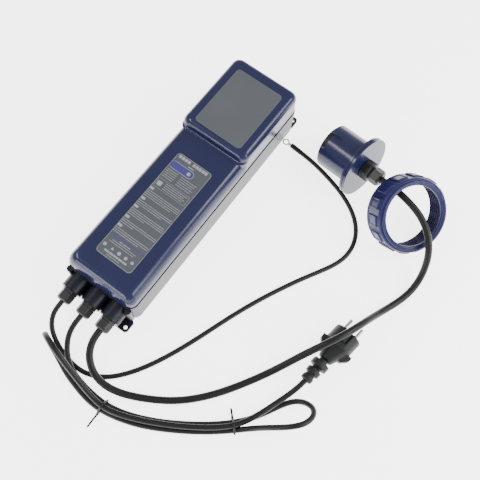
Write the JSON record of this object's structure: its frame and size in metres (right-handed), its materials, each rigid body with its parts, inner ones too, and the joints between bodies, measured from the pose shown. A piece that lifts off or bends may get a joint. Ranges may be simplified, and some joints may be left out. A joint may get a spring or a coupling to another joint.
{
  "type": "salt chlorine generator",
  "caption": "Wall box of a pool water treatment set with a raised head, cable glands, an earth lead, a mains lead with its plug, and a cell lead ending in a flanged cap with a loose union nut.",
  "frame": {"origin": "centre of the four wall holes, on the back plane of the case", "axes": "+Z out of the front cover, +Y along the case towards its raised head, +X across the case towards the leads' side"},
  "size_m": [0.3998, 0.5521, 0.0936],
  "materials": {
    "case": "gloss",
    "cover": "gloss",
    "panel": "matt",
    "label": "satin",
    "gasket": "matt",
    "screw": "satin",
    "board": "satin",
    "core": "satin",
    "coil": "satin",
    "capacitor": "satin",
    "sink": "satin",
    "chip": "matt",
    "terminal_green": "satin",
    "fuse_glass": "clear",
    "ferrite": "satin",
    "relay_blue": "satin",
    "brass": "satin",
    "wire": "satin",
    "gland": "satin",
    "lead": "satin",
    "tie": "satin",
    "terminal": "satin",
    "plug": "satin",
    "contact": "bright",
    "insert": "satin"
  },
  "bodies": {
    "root": {"rear_case": "case", "front_cover": "cover", "cover_gasket": "gasket", "cover_screws": "screw", "head_panel": "panel", "rating_label": "label", "power_board": "board", "board_screws": "screw", "transformer_core": "core", "transformer_coil": "coil", "filter_capacitors": "capacitor", "heat_sink": "sink", "power_transistors": "chip", "terminal_block": "terminal_green", "fuse_holder": "chip", "fuse": "fuse_glass", "emi_choke": "ferrite", "relay": "relay_blue", "earth_stud": "brass", "inner_wires": "wire", "earth_gland_body": "gland", "earth_gland_washer": "gasket", "earth_gland_locknut": "gland", "mains_gland_body": "gland", "mains_gland_washer": "gasket", "mains_gland_locknut": "gland", "cell_gland_body": "gland", "cell_gland_washer": "gasket", "cell_gland_locknut": "gland", "earth_lead": "lead", "ring_terminal": "terminal", "terminal_sleeve": "lead", "mains_lead": "lead", "cable_tie_1": "tie", "cable_tie_2": "tie", "plug_body": "plug", "plug_pins": "contact", "plug_earth_clips": "contact", "cell_lead": "lead", "cap_body": "cover", "cap_insert": "insert", "cap_contacts": "contact", "cap_wires": "wire", "cap_oring": "gasket", "cap_gland_body": "gland", "cap_gland_washer": "gasket", "cap_gland_locknut": "gland"},
    "earth_seal": {"earth_gland_seal": "gasket"},
    "earth_nut": {"earth_gland_nut": "gland"},
    "mains_seal": {"mains_gland_seal": "gasket"},
    "mains_nut": {"mains_gland_nut": "gland"},
    "cell_seal": {"cell_gland_seal": "gasket"},
    "cell_nut": {"cell_gland_nut": "gland"},
    "cap_seal": {"cap_gland_seal": "gasket"},
    "cap_nut": {"cap_gland_nut": "gland"},
    "union_nut": {"union_nut": "cover"}
  },
  "joints": [
    {"name": "earth_nut_travel", "type": "slide", "parent": "root", "child": "earth_seal", "axis": [0, -1, 0], "range_m": [0, 0.003]},
    {"name": "earth_nut_turn", "type": "hinge", "parent": "earth_seal", "child": "earth_nut", "pos_m": [-0.0325, -0.226, 0.028], "axis": [0, -1, 0], "range_deg": [0, 720]},
    {"name": "mains_nut_travel", "type": "slide", "parent": "root", "child": "mains_seal", "axis": [0, -1, 0], "range_m": [0, 0.003]},
    {"name": "mains_nut_turn", "type": "hinge", "parent": "mains_seal", "child": "mains_nut", "pos_m": [0, -0.226, 0.028], "axis": [0, -1, 0], "range_deg": [0, 720]},
    {"name": "cell_nut_travel", "type": "slide", "parent": "root", "child": "cell_seal", "axis": [0, -1, 0], "range_m": [0, 0.003]},
    {"name": "cell_nut_turn", "type": "hinge", "parent": "cell_seal", "child": "cell_nut", "pos_m": [0.0325, -0.226, 0.028], "axis": [0, -1, 0], "range_deg": [0, 720]},
    {"name": "cap_nut_travel", "type": "slide", "parent": "root", "child": "cap_seal", "axis": [0.9594, -0.1692, 0.2255], "range_m": [0, 0.003]},
    {"name": "cap_nut_turn", "type": "hinge", "parent": "cap_seal", "child": "cap_nut", "pos_m": [0.21623, 0.17127, 0.05312], "axis": [0.9594, -0.1692, 0.2255], "range_deg": [0, 720]},
    {"name": "union_nut_spin", "type": "hinge", "parent": "root", "child": "union_nut", "pos_m": [0.27253, 0.15233, 0.04729], "axis": [0.5385, -0.2985, 0.788], "continuous": true}
  ],
  "couplings": [
    {"joint": "earth_nut_travel", "follows": "earth_nut_turn", "m_per_rad": 0.00023873},
    {"joint": "mains_nut_travel", "follows": "mains_nut_turn", "m_per_rad": 0.00023873},
    {"joint": "cell_nut_travel", "follows": "cell_nut_turn", "m_per_rad": 0.00023873},
    {"joint": "cap_nut_travel", "follows": "cap_nut_turn", "m_per_rad": 0.00023873}
  ]
}
